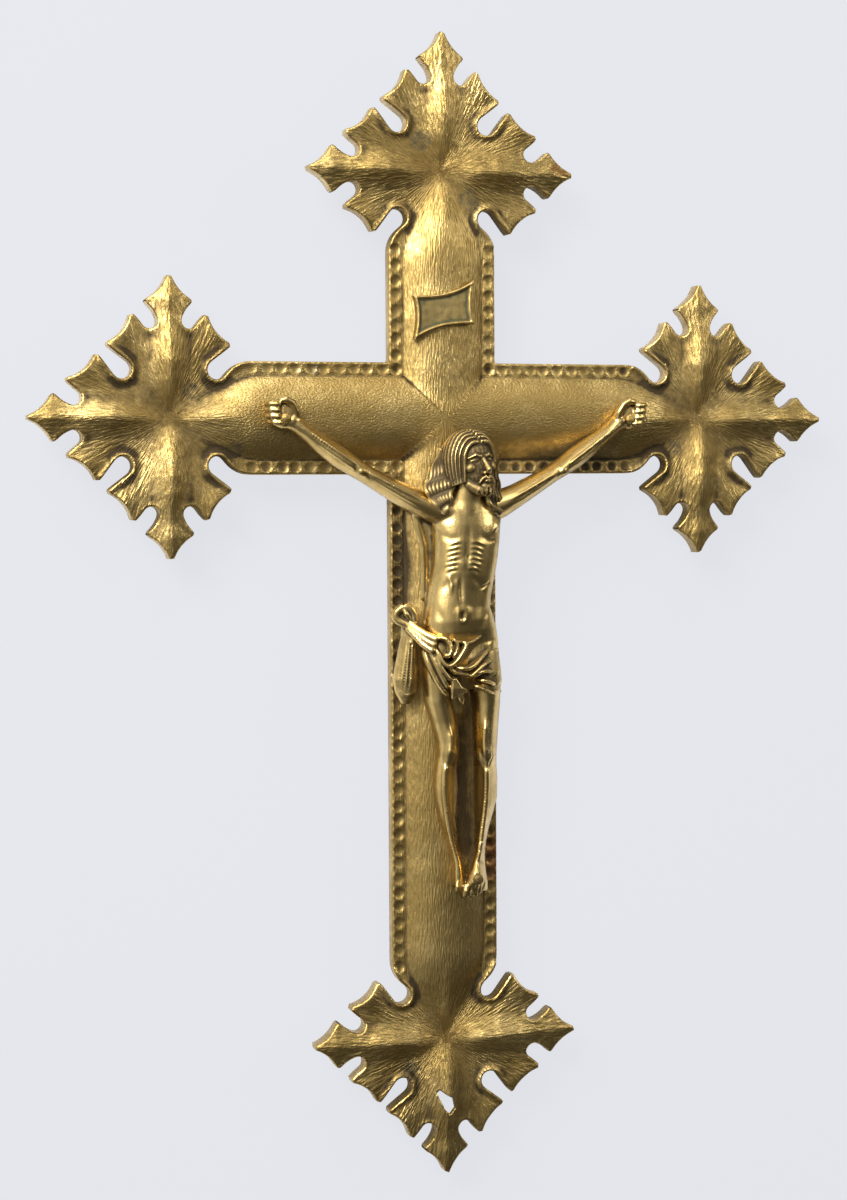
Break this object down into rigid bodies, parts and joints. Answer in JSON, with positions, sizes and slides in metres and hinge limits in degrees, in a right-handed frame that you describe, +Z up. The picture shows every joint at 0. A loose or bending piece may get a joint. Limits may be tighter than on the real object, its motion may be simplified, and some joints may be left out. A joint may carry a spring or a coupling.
{
  "type": "wall crucifix",
  "caption": "Hollow-backed cast brass wall crucifix with pierced leaf terminals, a nailed-on brass figure, a small scroll plate and a hanging ring behind.",
  "frame": {"origin": "middle of the crossing, on the wall plane that the cross's rear rim touches", "axes": "+Z up along the long limb, +X to the viewer's right, -Y out of the front"},
  "size_m": [0.26, 0.025, 0.3588],
  "materials": {
    "cross_brass": "chased, aged",
    "figure_brass": "polished, aged",
    "plate_brass": "patinated",
    "nail_brass": "darkened",
    "fastener_brass": "turned",
    "hanger_brass": "drawn, aged"
  },
  "bodies": {
    "cross": {"cross_shell": "cross_brass", "titulus_plate": "plate_brass", "titulus_washer_left": "fastener_brass", "titulus_washer_right": "fastener_brass", "corpus_body": "figure_brass", "corpus_right_arm": "figure_brass", "corpus_left_arm": "figure_brass", "right_hand_nail": "nail_brass", "left_hand_nail": "nail_brass", "foot_nail": "nail_brass", "right_hand_washer": "fastener_brass", "left_hand_washer": "fastener_brass", "foot_washer": "fastener_brass", "right_hand_nut": "fastener_brass", "left_hand_nut": "fastener_brass", "foot_nut": "fastener_brass", "hanger_strap": "hanger_brass", "hanger_screw_lower": "fastener_brass", "hanger_screw_upper": "fastener_brass"},
    "ring": {"hanging_ring": "hanger_brass"}
  },
  "joints": [
    {"name": "ring_swing", "type": "hinge", "parent": "cross", "child": "ring", "pos_m": [0, -0.0032, 0.04], "axis": [1, 0, 0], "range_deg": [0, 175]}
  ]
}
